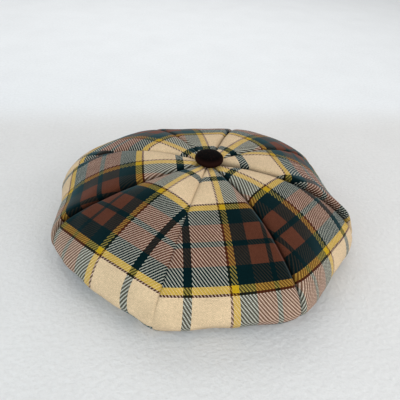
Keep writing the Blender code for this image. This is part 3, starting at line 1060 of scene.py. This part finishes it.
class TamStage(bpy.types.PropertyGroup):
    """Floor, lights and camera."""

    floor_colour: colour_property("Floor", "Colour of the pale felt under the hat", (0.67, 0.67, 0.67))
    far_colour: colour_property("Far floor", "Colour of the felt further behind", (0.76, 0.785, 0.81))
    # the darker near felt up to here partly paints the shade behind the hat
    far_begins: length_property("Far floor begins", "How far behind the origin it begins", 0.20)
    far_width: length_property("Far floor's edge", "How far it takes to reach its full colour", 0.11)
    azimuth: angle_property("Azimuth", "Of the camera, to the right of the front", math.radians(-9.5))
    elevation: angle_property("Elevation", "Of the camera above its aim", math.radians(35.3))
    roll: angle_property("Roll", "Of the camera to the left", math.radians(4.1))
    distance: length_property("Distance", "From the camera to its aim", 0.414)
    lens: number_property("Lens", "Focal length in mm, on a 36 mm sensor", 40.86, unit="CAMERA")
    aim: FloatVectorProperty(
        name="Aim",
        description="What the camera looks at, from the foot of the hat's axis",
        default=(-0.0077, -0.0129, 0.0405),
        subtype="TRANSLATION",
        unit="LENGTH",
    )
    horizon: number_property("Horizon", "Strength of the sky's light at the horizon", 1.02)
    zenith: number_property("Zenith", "Strength of the sky's light overhead", 0.4)
    sky_colour: colour_property("Sky colour", "Colour of the light from all round", (1.0, 0.985, 0.96))
    window: power_property("Window", "Power of the large soft light to the front left", 5.4)
    window_colour: colour_property("Window colour", "Colour of that light", (0.78, 0.92, 1.0))
    fill: power_property("Fill", "Power of the softer light to the front right", 5.4)
    backlight: power_property("Backlight", "Power of the lamp behind the hat, on the far floor", 4.8)


# Operators ------------


class TAM_OT_crown(bpy.types.Operator):
    """Builds the eight gores of the crown as walls of tartan cloth"""

    bl_idname = "tam.crown"
    bl_label = "Crown gores"

    def execute(self, context):
        rings = rings_along(ROWS)
        # Columns of points crowd towards the seams, where the relief is fine.
        across = np.sin(np.linspace(-1, 1, COLUMNS + 1) * math.pi / 2)
        material = tartan_material(context.scene.tam_cloth)
        faces = shell_faces(ROWS + 1, COLUMNS + 1)
        grids = [gore_outside(gore, rings, across) for gore in range(GORE_COUNT)]
        for gore, plain in enumerate(grids):
            outside, inside = gore_walls(gore, grids, rings, across)
            points = np.stack([outside, inside]) + HAT_FOOT
            places = cloth_places(gore, plain, rings)
            # painted shade of the seams' creases; the inside skin gets none
            painted_crease_shades = crease_shade(gore, plain, rings, across)
            doubled = np.stack([places, places])
            shaded = np.stack([painted_crease_shades, np.zeros_like(painted_crease_shades)])
            mesh = make_mesh(f"gore_cloth_{gore + 1}", points, faces, doubled, shaded)
            piece = add_piece(mesh, material, f"crown_gore_{gore + 1}")
        return {"FINISHED"}


class TAM_OT_headband(bpy.types.Operator):
    """Builds the headband, a plain cloth ring inside the hem"""

    bl_idname = "tam.headband"
    bl_label = "Headband"

    def execute(self, context):
        band = context.scene.tam_band
        low, high = BAND_BOX
        radius = (high.x - low.x) / 2
        profile = band_profile(radius, band.wall, low.z, high.z)
        points = turned_points(profile, BAND_FACETS) + HAT_FOOT
        mesh = make_mesh("headband_cloth", points, turned_faces(len(profile), BAND_FACETS, True))
        piece = add_piece(mesh, band_material(band), "headband")
        return {"FINISHED"}


class TAM_OT_button(bpy.types.Operator):
    """Builds the domed button covered in leather, with its shank"""

    bl_idname = "tam.button"
    bl_label = "Top button"

    def execute(self, context):
        button = context.scene.tam_button
        profile = button_profile(button)
        poles = np.array([(0.0, 0.0, -button.stem_length), (0.0, 0.0, button.height)])
        upright = np.concatenate([turned_points(profile, BUTTON_FACETS).reshape(-1, 3), poles])
        tilt = np.array(Matrix.Rotation(button.tilt, 3, "X"))
        # The lowest point of the tilted shank lies as low as its node does.
        shank = button.stem_length * math.cos(button.tilt) + button.stem_radius * math.sin(button.tilt)
        points = upright @ tilt.T + HAT_FOOT + np.array([0.0, 0.0, BUTTON_BOX[0].z + shank])
        skin = turned_faces(len(profile), BUTTON_FACETS, False).tolist()
        ends = pole_faces(len(profile), BUTTON_FACETS).tolist()
        mesh = make_mesh("button_cover", points, [*skin, *ends])
        add_piece(mesh, leather_material(button), "top_button")
        return {"FINISHED"}


class TAM_OT_stage(bpy.types.Operator):
    """Builds the floor, the soft light and the camera"""

    bl_idname = "tam.stage"
    bl_label = "Stage"

    def execute(self, context):
        stage = context.scene.tam_stage
        make_floor(stage)
        make_sky(stage)
        add_lamp("window", stage.window, stage.window_colour)
        add_lamp("fill", stage.fill, WHITE)
        add_lamp("backlight", stage.backlight, WHITE)
        make_camera(stage)
        return {"FINISHED"}


class TAM_PT_panel(bpy.types.Panel):
    """Lists the hat's pieces, with their sizes and colours"""

    bl_idname = "TAM_PT_panel"
    bl_label = "Gored Tartan Tam"
    bl_space_type = "VIEW_3D"
    bl_region_type = "UI"
    bl_category = "Tam"

    def draw(self, context):
        for operator, group in PIECES:
            box = self.layout.box()
            box.operator(operator.bl_idname)
            settings = getattr(context.scene, group)
            for name in settings.__annotations__:
                box.prop(settings, name)


GROUPS = {"tam_cloth": TamCloth, "tam_band": TamBand, "tam_button": TamButton, "tam_stage": TamStage}
PIECES = (
    (TAM_OT_crown, "tam_cloth"),
    (TAM_OT_headband, "tam_band"),
    (TAM_OT_button, "tam_button"),
    (TAM_OT_stage, "tam_stage"),
)
CLASSES = (*GROUPS.values(), *(operator for operator, _ in PIECES), TAM_PT_panel)


def register():
    """Adds the classes to Blender, and the groups of properties to its scenes."""
    for cls in CLASSES:
        bpy.utils.register_class(cls)
    for name, group in GROUPS.items():
        setattr(bpy.types.Scene, name, PointerProperty(type=group))


def unregister():
    """Takes them away again."""
    for name in GROUPS:
        delattr(bpy.types.Scene, name)
    for cls in reversed(CLASSES):
        bpy.utils.unregister_class(cls)


def main():
    """Builds the hat and its stage round the frame."""
    register()
    bpy.ops.tam.crown()
    bpy.ops.tam.headband()
    bpy.ops.tam.button()
    bpy.ops.tam.stage()


if __name__ == "__main__":
    main()
